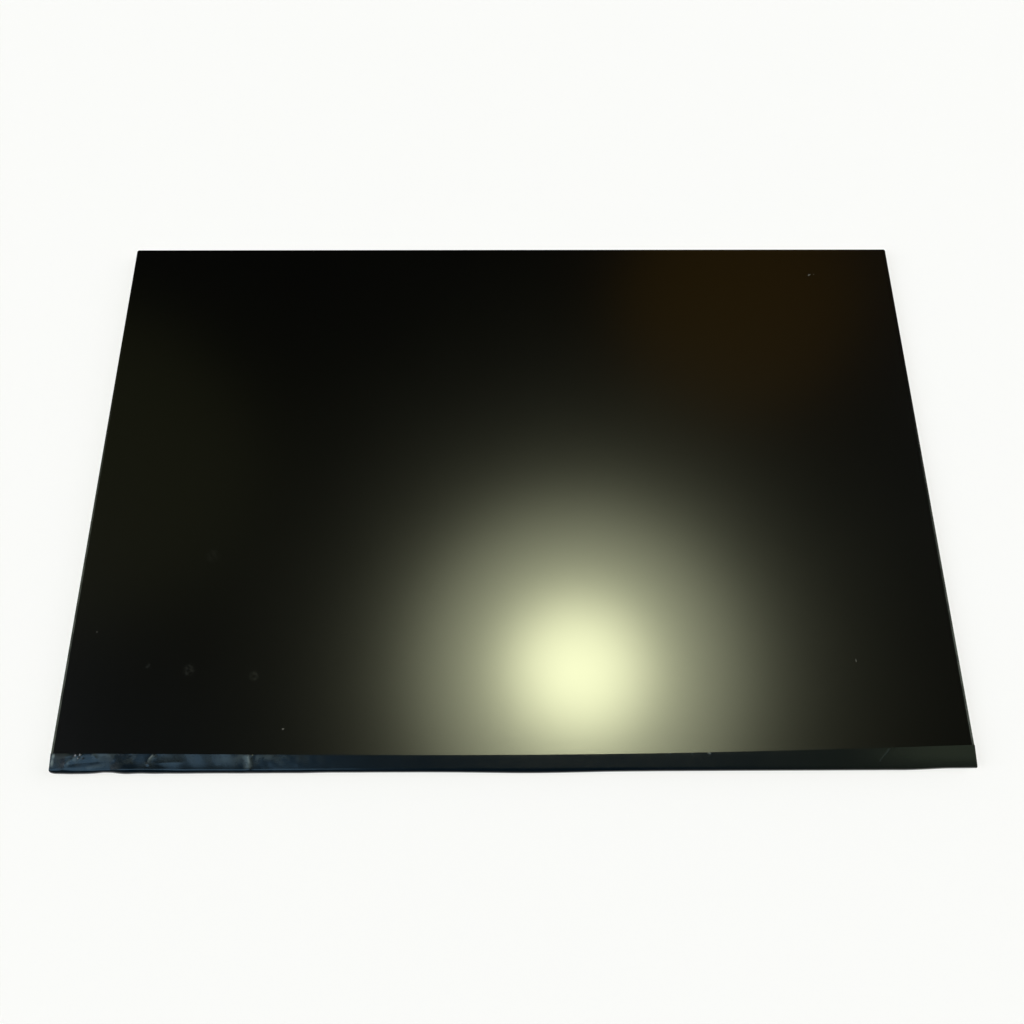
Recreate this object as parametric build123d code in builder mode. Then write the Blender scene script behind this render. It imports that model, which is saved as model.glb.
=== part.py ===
from build123d import *
from math import acos, atan2, cos, hypot, sin
import os

# A bare 14-inch 16:10 laptop display module, lying on its back with the screen up.
# X runs along the screen's width, Y towards its top edge and Z out of its face. Sizes are in millimetres.

# Viewing area and the borders around it
active_width = 301.6
active_height = 188.5
side_border = 3.25
top_border = 3.05
bottom_border = 9.05

# Thicknesses, from the rear to the face
cover_film_thickness = 0.05
component_height = 0.55
board_thickness = 0.40
bond_tape_thickness = 0.05
recess_depth = 0.10
chassis_sheet = 0.25
reflector_thickness = 0.10
guide_thickness = 0.60
diffuser_thickness = 0.10
prism_thickness = 0.13
lip_thickness = 0.25
cell_tape_thickness = 0.06
rear_polarizer_thickness = 0.12
glass_thickness = 0.30
front_polarizer_thickness = 0.14
driver_film_thickness = 0.06
light_flex_thickness = 0.12
cover_tape_thickness = 0.06

# Clearances
wall_play = 0.05
bend_play = 0.05
sheet_play = 0.05
sheet_gap = 0.30
post_gap = 0.25
window_gap = 0.20
socket_gap = 0.20

# Chassis and frame
inner_fold = 0.12
corner_relief = 0.90
wall_drop = 0.06
bead_width = 5.0
bead_inset = 20.0
bead_count = 5
bead_end_gap = 10.0
frame_wall = 0.70
frame_corner = 0.60
lip_margin = 0.80
lip_cover = 0.60
lug_length = 6.0
lug_height = 0.45
lug_setback = 0.05
lug_slope = 0.12
lug_inset = 28.0
side_lugs = 3
top_lugs = 4
post_length = 4.0
post_reach = 0.90
post_inset = 44.0

# Glass cell
glass_inset = 0.25
glass_corner = 0.50
ledge = 3.1
polarizer_inset = 0.85
polarizer_setback = 0.30
polarizer_corner = 0.40
rear_polarizer_gap = 0.30
cell_tape_step = 0.20

# Light source
diode_count = 48
diode_length = 3.0
diode_depth = 1.0
diode_gap = 0.05
window_rim = 0.12
window_depth = 0.15
flex_lap = 0.50
flex_overhang = 1.10
flex_setback = 0.25
tail_width = 8.0

# Drivers and the tape over them
film_count = 4
film_glass_width = 36.0
film_board_width = 28.0
film_lap = 2.0
film_setback = 0.40
chip_zone = 2.35
chip_length = 22.0
chip_width = 1.2
chip_height = 0.28
tape_lap = 0.70
tape_to_film = 0.55
tape_inset = 0.35

# Control board and what it carries
board_margin = 3.0
part_margin = 0.50
controller_size = 5.6
controller_x = 21.0
power_chip_size = 4.0
power_chip_x = -21.0
gamma_chip_size = 3.4
gamma_chip_x = -46.0
inductor_x = -33.0
inductor_length = 2.5
inductor_width = 2.0
inductor_gap = 0.80
capacitor_length = 1.0
capacitor_width = 0.5
capacitor_height = 0.45
capacitor_columns = 8
capacitor_gap = 3.0
capacitor_row_gap = 2.0
bank_shift = 7.5
package_chamfer = 0.10
film_slope = 1.6
film_flap = 3.0
film_margin = 0.30

# Display connector
connector_side = 2.11
connector_depth = 3.6
connector_reach = 0.30
shell_thickness = 0.10
shell_tab = 1.0
shell_tab_length = 1.6
contact_count = 30
contact_pitch = 0.40
contact_width = 0.18
contact_height = 0.10
contact_tail = 0.90
slot_depth = 2.4
slot_floor = 0.12

# Outline
outline_width = active_width + 2 * side_border
outline_height = active_height + top_border + bottom_border
half_width = outline_width / 2
high_edge = outline_height / 2
low_edge = -high_edge
active_half = active_width / 2
active_low = low_edge + bottom_border
active_high = high_edge - top_border

# Heights, from the lowest face of the board cover
cover_inner = cover_film_thickness
board_outer = cover_inner + component_height
board_inner = board_outer + board_thickness
recess_face = board_inner + bond_tape_thickness
back_face = recess_face - recess_depth
plate_inner = back_face + chassis_sheet
stack_floor = recess_face + chassis_sheet
guide_low = stack_floor + reflector_thickness
guide_high = guide_low + guide_thickness
lower_prism_low = guide_high + diffuser_thickness
upper_prism_low = lower_prism_low + prism_thickness
lip_low = upper_prism_low + prism_thickness + sheet_play
lip_high = lip_low + lip_thickness
wall_top = lip_high - wall_drop
array_low = lip_high + cell_tape_thickness
array_high = array_low + glass_thickness
filter_high = array_high + glass_thickness
face_height = filter_high + front_polarizer_thickness
film_top = array_high + driver_film_thickness
film_low = board_outer - driver_film_thickness

# Lines along the lower edge, from the outside inwards
film_bend = (film_top - film_low) / 2
bend_line = low_edge + cover_tape_thickness + film_bend
bend_middle = (film_top + film_low) / 2
chassis_low = bend_line + bend_play
frame_low = chassis_low + chassis_sheet + wall_play
filter_edge = frame_low + ledge
polarizer_edge = filter_edge + polarizer_setback
tape_edge = polarizer_edge + tape_lap

# Frame, its cavity for the sheets and its opening for the light
frame_half = half_width - chassis_sheet - wall_play
frame_high = high_edge - chassis_sheet - wall_play
cavity_half = frame_half - frame_wall
cavity_high = frame_high - frame_wall
opening_half = active_half + lip_margin
opening_high = active_high + lip_margin
opening_low = active_low - lip_margin
sheet_half = cavity_half - sheet_gap
sheet_high = cavity_high - sheet_gap
sheet_low = opening_low - lip_cover
flex_front = sheet_low - flex_setback
guide_edge = flex_front - flex_lap
diode_face = guide_edge - diode_gap
diode_rear = diode_face - diode_depth
flex_rear = diode_rear - flex_overhang
cavity_low = flex_rear - sheet_gap
post_x = cavity_half - post_reach / 2
post_y = high_edge - post_inset
lug_z = (plate_inner + wall_top) / 2
side_lug_pitch = (outline_height - 2 * lug_inset) / (side_lugs - 1)
top_lug_pitch = (outline_width - 2 * lug_inset) / (top_lugs - 1)
side_lug_places = [lug_inset - high_edge + i * side_lug_pitch for i in range(side_lugs)]
top_lug_places = [lug_inset - half_width + i * top_lug_pitch for i in range(top_lugs)]
lug_planes = [
    *[Plane((frame_half, y, 0), x_dir=(1, 0, 0), z_dir=(0, -1, 0)) for y in side_lug_places],
    *[Plane((-frame_half, y, 0), x_dir=(-1, 0, 0), z_dir=(0, 1, 0)) for y in side_lug_places],
    *[Plane((x, frame_high, 0), x_dir=(0, 1, 0), z_dir=(1, 0, 0)) for x in top_lug_places],
]

# Glass cell
glass_half = half_width - glass_inset
glass_high = high_edge - glass_inset
polarizer_half = glass_half - polarizer_inset
polarizer_high = glass_high - polarizer_inset

# Drivers, board and connector
film_pitch = active_width / film_count
film_places = [(i - (film_count - 1) / 2) * film_pitch for i in range(film_count)]
tail_x = (1 - film_count / 2) * film_pitch
connector_x = (film_count / 2 - 1) * film_pitch
board_edge = bend_line + chip_zone
board_half = film_places[-1] + film_glass_width / 2 + board_margin
parts_low = board_edge + film_lap + film_setback
board_top = parts_low + controller_size + 2 * part_margin
parts_y = (parts_low + board_top) / 2
flap_start = board_top + film_margin + film_slope
flap_end = flap_start + film_flap
recess_edge = flap_end + film_margin
connector_mouth = board_top + connector_reach
connector_rear = connector_mouth - connector_depth
connector_low = cover_inner
connector_high = board_inner - wall_play
contact_low = board_outer - contact_height
contact_span = (contact_count - 1) * contact_pitch + contact_width
connector_width = contact_span + 2 * connector_side
diode_pitch = active_width / diode_count


def block(x, y, z, mode=Mode.ADD):
    """A block between two values on each axis, in the part being built."""
    with Locations(((x[0] + x[1]) / 2, (y[0] + y[1]) / 2, (z[0] + z[1]) / 2)):
        Box(x[1] - x[0], y[1] - y[0], z[1] - z[0], mode=mode)


def panel(half, low, high, mode=Mode.ADD):
    """A rectangle centred across the width, between two lines along it, in the sketch being drawn."""
    with Locations((0, (low + high) / 2)):
        Rectangle(2 * half, high - low, mode=mode)


def sheet_outline(lower_edge):
    """Outline of a sheet that lies in the frame, with notches that clear the frame's posts."""
    panel(sheet_half, lower_edge, sheet_high)
    with GridLocations(2 * cavity_half, 2 * post_y, 2, 2):
        Rectangle(2 * (post_reach + post_gap), post_length + 2 * post_gap, mode=Mode.SUBTRACT)


def wrap_section(lead, low, low_end, thickness):
    """Side view of a strip whose upper face follows lead, then turns half round the lower edge and back."""
    top = lead[-1][1]
    outer = (top - low) / 2
    middle = (top + low) / 2
    inner_low = low + thickness
    inner_top = top - thickness
    with BuildLine() as edge:
        Polyline(*lead)
        ThreePointArc((bend_line, top), (bend_line - outer, middle), (bend_line, low))
        Polyline((bend_line, low), (low_end, low), (low_end, inner_low), (bend_line, inner_low))
        ThreePointArc((bend_line, inner_low), (bend_line - outer + thickness, middle), (bend_line, inner_top))
        Polyline(*[(y, z - thickness) for y, z in reversed(lead)], lead[0])
    make_face(edge.edges())


def tangent_point(radius, y, z):
    """Where a straight line from a point above the lower edge touches a circle round the bend."""
    across = y - bend_line
    rise = z - bend_middle
    lean = acos(radius / hypot(across, rise)) - atan2(across, rise)
    return (bend_line - radius * sin(lean), bend_middle + radius * cos(lean))


def bead_slots():
    """The pressed stiffening beads of the chassis, in the sketch being drawn."""
    bead_low = recess_edge + bead_inset
    bead_high = high_edge - bead_inset
    bead_length = outline_width - 2 * bead_inset
    upright = bead_high - bead_low - bead_width - 2 * bead_end_gap
    with Locations((0, bead_low), (0, bead_high)):
        SlotOverall(bead_length, bead_width)
    with Locations((0, (bead_low + bead_high) / 2)):
        with GridLocations(bead_length / bead_count, 0, bead_count, 1):
            SlotOverall(upright, bead_width, rotation=90)


def save(part, name):
    """Label a finished part and write its file."""
    part.label = name
    export_step(part, "parts/" + name + ".step")


os.makedirs("parts", exist_ok=True)

# Rear chassis: pressed tray with folded walls, beads, a raised bay for the board and windows for the lugs
with BuildPart() as rear_chassis:
    with BuildSketch(Plane.XY.offset(back_face)):
        panel(half_width, chassis_low, high_edge)
    extrude(amount=wall_top - back_face)
    fillet(rear_chassis.edges().group_by(Axis.Z)[0], radius=inner_fold + chassis_sheet)
    with BuildSketch(Plane.XY.offset(plate_inner)):
        panel(half_width - chassis_sheet, chassis_low + chassis_sheet, high_edge - chassis_sheet)
    extrude(amount=wall_top - plate_inner, mode=Mode.SUBTRACT)
    fillet(rear_chassis.faces().filter_by(Axis.Z).sort_by(Axis.Z)[1].edges(), radius=inner_fold)
    block((-half_width, half_width), (chassis_low, recess_edge), (back_face, recess_face), Mode.SUBTRACT)
    raised_half = half_width - chassis_sheet
    raised_edge = recess_edge + recess_depth
    block((-raised_half, raised_half), (chassis_low + chassis_sheet, raised_edge), (plate_inner, stack_floor))
    with BuildSketch(Plane.XY.offset(back_face)):
        bead_slots()
    extrude(amount=recess_depth, mode=Mode.SUBTRACT)
    with BuildSketch(Plane.XY.offset(plate_inner)):
        bead_slots()
    extrude(amount=recess_depth)
    with BuildSketch(Plane.XY.offset(back_face)):
        with Locations((0, (chassis_low + high_edge) / 2)):
            with GridLocations(outline_width, high_edge - chassis_low, 2, 2):
                Rectangle(2 * corner_relief, 2 * corner_relief)
    extrude(amount=wall_top - back_face, mode=Mode.SUBTRACT)
    window_length = lug_length + window_gap
    window_height = lug_height + window_gap
    with Locations(*[(0, y, lug_z) for y in side_lug_places]):
        Box(outline_width, window_length, window_height, mode=Mode.SUBTRACT)
    with Locations(*[(x, high_edge, lug_z) for x in top_lug_places]):
        Box(window_length, 2 * chassis_sheet, window_height, mode=Mode.SUBTRACT)
    tail_way = tail_width / 2 + sheet_gap
    tail_sides = (tail_x - tail_way, tail_x + tail_way)
    tail_heights = (guide_high - wall_play, wall_top)
    block(tail_sides, (chassis_low, chassis_low + chassis_sheet), tail_heights, Mode.SUBTRACT)
save(rear_chassis.part, "rear_chassis")

# Mould frame: ring with a lip over the sheets, posts that place them and lugs that snap into the chassis
with BuildPart() as mould_frame:
    with BuildSketch(Plane.XY.offset(plate_inner)) as frame_outline:
        panel(frame_half, frame_low, frame_high)
        fillet(frame_outline.vertices(), radius=frame_corner)
    extrude(amount=lip_high - plate_inner)
    chamfer(mould_frame.faces().sort_by(Axis.Z)[0].edges(), length=inner_fold + wall_play)
    with BuildSketch(Plane.XY.offset(plate_inner)):
        panel(cavity_half, cavity_low, cavity_high)
    extrude(amount=lip_low - plate_inner, mode=Mode.SUBTRACT)
    with BuildSketch(Plane.XY.offset(lip_low)):
        panel(opening_half, opening_low, opening_high)
    extrude(amount=lip_thickness, mode=Mode.SUBTRACT)
    with Locations((0, 0, (plate_inner + lip_low) / 2)):
        with GridLocations(2 * post_x, 2 * post_y, 2, 2):
            Box(post_reach, post_length, lip_low - plate_inner)
    lug_proud = wall_play + chassis_sheet - lug_setback
    lug_top = lug_z + lug_height / 2
    lug_bottom = lug_z - lug_height / 2
    with BuildSketch(*lug_planes):
        with BuildLine():
            Polyline(
                (-frame_wall / 2, lug_top),
                (lug_proud, lug_top),
                (lug_proud, lug_z),
                (lug_proud - lug_slope, lug_bottom),
                (-frame_wall / 2, lug_bottom),
                close=True,
            )
        make_face()
    extrude(amount=lug_length / 2, both=True)
    bay_lines = (frame_low, raised_edge + wall_play)
    block((-half_width, half_width), bay_lines, (plate_inner, stack_floor), Mode.SUBTRACT)
    block(tail_sides, (frame_low, cavity_low), (guide_high - wall_play, lip_low), Mode.SUBTRACT)
save(mould_frame.part, "mould_frame")

# Sheets in the frame, from the rear to the front
with BuildPart() as reflector_sheet:
    with BuildSketch(Plane.XY.offset(stack_floor)):
        sheet_outline(flex_rear)
    extrude(amount=reflector_thickness)
save(reflector_sheet.part, "reflector_sheet")

with BuildPart() as light_guide:
    with BuildSketch(Plane.XY.offset(guide_low)):
        sheet_outline(guide_edge)
    extrude(amount=guide_thickness)
save(light_guide.part, "light_guide")

with BuildPart() as diffuser_sheet:
    with BuildSketch(Plane.XY.offset(guide_high)):
        sheet_outline(sheet_low)
    extrude(amount=diffuser_thickness)
save(diffuser_sheet.part, "diffuser_sheet")

with BuildPart() as lower_prism_sheet:
    with BuildSketch(Plane.XY.offset(lower_prism_low)):
        sheet_outline(sheet_low)
    extrude(amount=prism_thickness)
save(lower_prism_sheet.part, "lower_prism_sheet")

with BuildPart() as upper_prism_sheet:
    with BuildSketch(Plane.XY.offset(upper_prism_low)):
        sheet_outline(sheet_low)
    extrude(amount=prism_thickness)
save(upper_prism_sheet.part, "upper_prism_sheet")

# Light source: a row of side-facing diodes under a flex strip, whose tail turns round the edge to the board
with BuildPart() as light_diodes:
    with BuildSketch(Plane.XY.offset(guide_low)):
        with Locations((0, (diode_face + diode_rear) / 2)):
            with GridLocations(diode_pitch, 0, diode_count, 1):
                Rectangle(diode_length, diode_depth)
    extrude(amount=guide_thickness)
    with BuildSketch(Plane.XZ.offset(-diode_face)):
        with Locations((0, (guide_low + guide_high) / 2)):
            with GridLocations(diode_pitch, 0, diode_count, 1):
                Rectangle(diode_length - 2 * window_rim, guide_thickness - 2 * window_rim)
    extrude(amount=window_depth, mode=Mode.SUBTRACT)
save(light_diodes.part, "light_diodes")

with BuildPart() as light_flex:
    with BuildSketch(Plane.XY.offset(guide_high)):
        panel(active_half - sheet_gap, flex_rear, flex_front)
    extrude(amount=light_flex_thickness)
    with BuildSketch(Plane.YZ.offset(tail_x)):
        tail_top = guide_high + driver_film_thickness
        tail_lead = ((flex_rear + flex_overhang / 2, tail_top), (bend_line, tail_top))
        wrap_section(tail_lead, film_low, board_edge + film_lap, driver_film_thickness)
    extrude(amount=tail_width / 2, both=True)
save(light_flex.part, "light_flex")

# Glass cell: the array glass is longer at the lower edge and leaves a ledge for the driver films
with BuildPart() as cell_tape:
    with BuildSketch(Plane.XY.offset(lip_high)):
        panel(frame_half - glass_inset, frame_low + glass_inset, frame_high - glass_inset)
        panel(
            opening_half + cell_tape_step,
            opening_low - cell_tape_step,
            opening_high + cell_tape_step,
            mode=Mode.SUBTRACT,
        )
    extrude(amount=cell_tape_thickness)
save(cell_tape.part, "cell_tape")

with BuildPart() as rear_polarizer:
    with BuildSketch(Plane.XY.offset(array_low - rear_polarizer_thickness)) as rear_outline:
        panel(
            opening_half - rear_polarizer_gap,
            opening_low + rear_polarizer_gap,
            opening_high - rear_polarizer_gap,
        )
        fillet(rear_outline.vertices(), radius=polarizer_corner)
    extrude(amount=rear_polarizer_thickness)
save(rear_polarizer.part, "rear_polarizer")

with BuildPart() as array_glass:
    with BuildSketch(Plane.XY.offset(array_low)) as array_outline:
        panel(glass_half, frame_low, glass_high)
        chamfer(array_outline.vertices(), length=glass_corner)
    extrude(amount=glass_thickness)
save(array_glass.part, "array_glass")

with BuildPart() as filter_glass:
    with BuildSketch(Plane.XY.offset(array_high)) as filter_outline:
        panel(glass_half, filter_edge, glass_high)
        chamfer(filter_outline.vertices(), length=glass_corner)
    extrude(amount=glass_thickness)
save(filter_glass.part, "colour_filter_glass")

with BuildPart() as front_polarizer:
    with BuildSketch(Plane.XY.offset(filter_high)) as front_outline:
        panel(polarizer_half, polarizer_edge, polarizer_high)
        fillet(front_outline.vertices(), radius=polarizer_corner)
    extrude(amount=front_polarizer_thickness)
save(front_polarizer.part, "front_polarizer")

# Driver films, bonded on the ledge, bent round the lower edge and bonded on the board, each with its chip
for number, film_x in enumerate(film_places, start=1):
    with BuildPart() as driver_film:
        with BuildSketch(Plane.YZ.offset(film_x)):
            film_lead = ((filter_edge - film_setback, film_top), (bend_line, film_top))
            wrap_section(film_lead, film_low, board_edge + film_lap, driver_film_thickness)
        extrude(amount=film_glass_width / 2, both=True)
        with BuildSketch(Plane.XZ):
            with Locations((film_x, 0)):
                Polygon(
                    (-film_board_width / 2, 0),
                    (film_board_width / 2, 0),
                    (film_board_width / 2, board_outer),
                    (film_glass_width / 2, array_low),
                    (film_glass_width / 2, filter_high),
                    (-film_glass_width / 2, filter_high),
                    (-film_glass_width / 2, array_low),
                    (-film_board_width / 2, board_outer),
                    align=None,
                )
        extrude(amount=outline_height, both=True, mode=Mode.INTERSECT)
    save(driver_film.part, "driver_film_" + str(number))

    with BuildPart() as driver_chip:
        chip_y = bend_line + chip_zone / 2
        with BuildSketch(Plane.XY.offset(board_outer)):
            with Locations((film_x, chip_y)):
                Rectangle(chip_length, chip_width)
        extrude(amount=chip_height)
    save(driver_chip.part, "driver_chip_" + str(number))

# Control board with a notch for the connector, and the tape that bonds it into the chassis bay
with BuildPart() as control_board:
    socket_half = connector_width / 2 + socket_gap
    with BuildSketch(Plane.XY.offset(board_outer)):
        panel(board_half, board_edge, board_top)
        with Locations((connector_x, board_top)):
            Rectangle(2 * socket_half, 2 * (board_top - connector_rear + socket_gap), mode=Mode.SUBTRACT)
    extrude(amount=board_thickness)
save(control_board.part, "control_board")

with BuildPart() as board_bond_tape:
    with BuildSketch(Plane.XY.offset(board_inner)):
        panel(board_half - board_margin, board_edge + film_setback, connector_rear - film_setback)
    extrude(amount=bond_tape_thickness)
save(board_bond_tape.part, "board_bond_tape")

# Parts on the board's outer face
with BuildPart() as timing_controller:
    with BuildSketch(Plane.XY.offset(cover_inner)):
        with Locations((controller_x, parts_y)):
            Rectangle(controller_size, controller_size)
    extrude(amount=component_height)
    chamfer(timing_controller.edges().filter_by(Axis.Z), length=package_chamfer)
save(timing_controller.part, "timing_controller")

with BuildPart() as power_chip:
    with BuildSketch(Plane.XY.offset(cover_inner)):
        with Locations((power_chip_x, parts_y)):
            Rectangle(power_chip_size, power_chip_size)
    extrude(amount=component_height)
    chamfer(power_chip.edges().filter_by(Axis.Z), length=package_chamfer)
save(power_chip.part, "power_chip")

with BuildPart() as gamma_chip:
    with BuildSketch(Plane.XY.offset(cover_inner)):
        with Locations((gamma_chip_x, parts_y)):
            Rectangle(gamma_chip_size, gamma_chip_size)
    extrude(amount=component_height)
    chamfer(gamma_chip.edges().filter_by(Axis.Z), length=package_chamfer)
save(gamma_chip.part, "gamma_chip")

with BuildPart() as power_inductors:
    with BuildSketch(Plane.XY.offset(cover_inner)):
        with Locations((inductor_x, parts_y)):
            with GridLocations(0, inductor_width + inductor_gap, 1, 2):
                Rectangle(inductor_length, inductor_width)
    extrude(amount=component_height)
    chamfer(power_inductors.edges().filter_by(Axis.Z), length=2 * package_chamfer)
save(power_inductors.part, "power_inductors")

with BuildPart() as board_capacitors:
    with BuildSketch(Plane.XY.offset(board_outer - capacitor_height)):
        bank_x = film_places[-1] - bank_shift
        row_pitch = capacitor_width + capacitor_row_gap
        with Locations((-bank_x, parts_y), (bank_x, parts_y)):
            with GridLocations(capacitor_length + capacitor_gap, row_pitch, capacitor_columns, 2):
                Rectangle(capacitor_length, capacitor_width)
        with Locations((0, parts_y)):
            with GridLocations(capacitor_gap, row_pitch, capacitor_columns // 2, 2):
                Rectangle(capacitor_width, capacitor_length)
    extrude(amount=capacitor_height)
save(board_capacitors.part, "board_capacitors")

# Display connector: shell, housing with a slot that faces the screen's top edge, and a row of contacts
with BuildPart() as connector_shell:
    shell_sides = (connector_x - connector_width / 2, connector_x + connector_width / 2)
    shell_ends = (connector_rear, connector_mouth)
    block(shell_sides, shell_ends, (connector_low, connector_high))
    with Locations((connector_x, (connector_rear + connector_mouth) / 2, board_outer - shell_thickness / 2)):
        Box(connector_width + 2 * shell_tab, shell_tab_length, shell_thickness)
    housing_sides = (shell_sides[0] + shell_thickness, shell_sides[1] - shell_thickness)
    housing_heights = (connector_low + shell_thickness, connector_high - shell_thickness)
    block(housing_sides, shell_ends, housing_heights, Mode.SUBTRACT)
save(connector_shell.part, "connector_shell")

with BuildPart() as connector_housing:
    slot_half = contact_span / 2 + shell_thickness
    slot_sides = (connector_x - slot_half, connector_x + slot_half)
    block(housing_sides, shell_ends, housing_heights)
    slot_heights = (housing_heights[0] + slot_floor, board_outer)
    block(slot_sides, (connector_mouth - slot_depth, connector_mouth), slot_heights, Mode.SUBTRACT)
    block(slot_sides, shell_ends, (contact_low, board_outer), Mode.SUBTRACT)
save(connector_housing.part, "connector_housing")

with BuildPart() as connector_contacts:
    contact_rear = connector_rear - contact_tail
    contact_front = connector_mouth - slot_depth / 4
    with BuildSketch(Plane.XY.offset(contact_low)):
        with Locations((connector_x, (contact_rear + contact_front) / 2)):
            with GridLocations(contact_pitch, 0, contact_count, 1):
                Rectangle(contact_width, contact_front - contact_rear)
    extrude(amount=contact_height)
save(connector_contacts.part, "connector_contacts")

# Film over the board at the rear, open at the connector
with BuildPart() as board_cover_film:
    film_path = (
        (flap_end, recess_face),
        (flap_start, recess_face),
        (flap_start - film_slope, cover_inner),
        (parts_low, cover_inner),
        (board_edge + film_lap / 2, film_low),
        (board_edge + film_margin, film_low),
    )
    with BuildSketch(Plane.YZ):
        with BuildLine():
            Polyline(*film_path, *[(y, z - cover_film_thickness) for y, z in reversed(film_path)], close=True)
        make_face()
    extrude(amount=board_half + board_margin, both=True)
    opening_side = connector_width / 2 + shell_tab + film_margin
    block(
        (connector_x - opening_side, connector_x + opening_side),
        (contact_rear - film_margin, flap_end),
        (0, recess_face),
        Mode.SUBTRACT,
    )
save(board_cover_film.part, "board_cover_film")

# Tape over the drivers, stretched from the face of the screen to the bend and wrapped round it to the rear
tape_face = face_height + cover_tape_thickness
tape_low = film_low - cover_tape_thickness
tape_end = board_edge + film_margin - tape_to_film
outer_touch = tangent_point(film_bend + cover_tape_thickness, polarizer_edge, tape_face)
inner_touch = tangent_point(film_bend, polarizer_edge, face_height)
with BuildPart() as driver_cover_tape:
    with BuildSketch(Plane.YZ):
        with BuildLine() as tape_line:
            Polyline((tape_edge, tape_face), (polarizer_edge, tape_face), outer_touch)
            ThreePointArc(outer_touch, (low_edge, bend_middle), (bend_line, tape_low))
            Polyline((bend_line, tape_low), (tape_end, tape_low), (tape_end, film_low), (bend_line, film_low))
            ThreePointArc((bend_line, film_low), (low_edge + cover_tape_thickness, bend_middle), inner_touch)
            Polyline(inner_touch, (polarizer_edge, face_height), (tape_edge, face_height), (tape_edge, tape_face))
        make_face(tape_line.edges())
    extrude(amount=half_width - tape_inset, both=True)
save(driver_cover_tape.part, "driver_cover_tape")
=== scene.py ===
import math

import bpy
import numpy as np
from mathutils import Matrix, Vector


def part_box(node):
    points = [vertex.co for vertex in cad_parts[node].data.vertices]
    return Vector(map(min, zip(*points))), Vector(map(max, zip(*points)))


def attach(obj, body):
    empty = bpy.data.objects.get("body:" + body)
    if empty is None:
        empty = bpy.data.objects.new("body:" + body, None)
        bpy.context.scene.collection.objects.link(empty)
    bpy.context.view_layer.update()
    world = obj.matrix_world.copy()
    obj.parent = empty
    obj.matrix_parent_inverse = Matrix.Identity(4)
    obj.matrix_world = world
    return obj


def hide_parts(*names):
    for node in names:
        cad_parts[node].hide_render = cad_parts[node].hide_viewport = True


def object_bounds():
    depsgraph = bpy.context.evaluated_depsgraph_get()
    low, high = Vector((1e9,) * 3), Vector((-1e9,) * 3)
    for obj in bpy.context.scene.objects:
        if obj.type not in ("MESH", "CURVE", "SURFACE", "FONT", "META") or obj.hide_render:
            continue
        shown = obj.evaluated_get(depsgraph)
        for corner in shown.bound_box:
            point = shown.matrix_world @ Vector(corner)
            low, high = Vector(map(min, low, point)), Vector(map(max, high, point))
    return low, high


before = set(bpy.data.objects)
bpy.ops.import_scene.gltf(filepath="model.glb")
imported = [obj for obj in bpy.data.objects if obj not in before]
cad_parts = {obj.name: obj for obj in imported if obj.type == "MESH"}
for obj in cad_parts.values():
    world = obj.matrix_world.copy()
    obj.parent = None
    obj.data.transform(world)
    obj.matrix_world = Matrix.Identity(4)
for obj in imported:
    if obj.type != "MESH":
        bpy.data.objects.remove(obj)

# A bare laptop display panel lying on its back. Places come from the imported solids, in millimetres here
# and in metres in the meshes. The screen's top edge points along +Y and its face along +Z.

cad_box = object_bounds()
MM = 0.001


def box_mm(node):
    """The lowest and highest corners of a solid, in millimetres."""
    low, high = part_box(node)
    return np.array(low) / MM, np.array(high) / MM


film_low, film_high = box_mm("front_polarizer")
cover_high = box_mm("colour_filter_glass")[1]
tape_low, tape_high = box_mm("driver_cover_tape")
bend_high = box_mm("driver_film_1")[1]
diode_low, diode_high = box_mm("light_diodes")
guide_low, guide_high = box_mm("light_guide")
bank_low, bank_high = box_mm("board_capacitors")

# The camera, as the four corners of the panel in the photograph give it
picture_size = 1024
sensor_width = 36.0
focal_pixels = 797.2
axis_row = 460
camera_place = np.array([-1.85, -88.20, 285.74])
camera_pitch = math.radians(71.074)
camera_yaw = math.radians(0.874)
camera_roll = math.radians(0.685)
clip_near = 0.01
clip_far = 500.0

forward = np.array(
    [
        math.sin(camera_yaw) * math.cos(camera_pitch),
        math.cos(camera_yaw) * math.cos(camera_pitch),
        -math.sin(camera_pitch),
    ]
)
level = np.array([math.cos(camera_yaw), -math.sin(camera_yaw), 0.0])
overhead = np.cross(level, forward)
across = level * math.cos(camera_roll) + overhead * math.sin(camera_roll)
upward = overhead * math.cos(camera_roll) - level * math.sin(camera_roll)


def sight_line(column, row):
    """Direction of the ray through a pixel: the axis, plus the pixel's offsets over the focal length."""
    right = (column - picture_size / 2) / focal_pixels
    up = (axis_row - row) / focal_pixels
    ray = forward + across * right + upward * up
    return ray / np.linalg.norm(ray)


def seen_on(column, row, height):
    """Where the ray through a pixel meets a level plane, as x and y in millimetres."""
    ray = sight_line(column, row)
    point = camera_place + ray * (height - camera_place[2]) / ray[2]
    return point[:2]


def add_camera():
    """The photograph's camera, from its place, its three axes and its focal length."""
    lens = bpy.data.cameras.new("photo_camera")
    lens.sensor_width = sensor_width
    lens.lens = sensor_width * focal_pixels / picture_size
    lens.shift_y = axis_row / picture_size - 0.5
    lens.clip_start = clip_near
    lens.clip_end = clip_far
    camera = bpy.data.objects.new("photo_camera", lens)
    bpy.context.scene.collection.objects.link(camera)
    turn = Matrix((across, upward, -forward)).transposed().to_4x4()
    camera.matrix_world = Matrix.Translation(Vector(camera_place) * MM) @ turn
    bpy.context.scene.camera = camera


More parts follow.
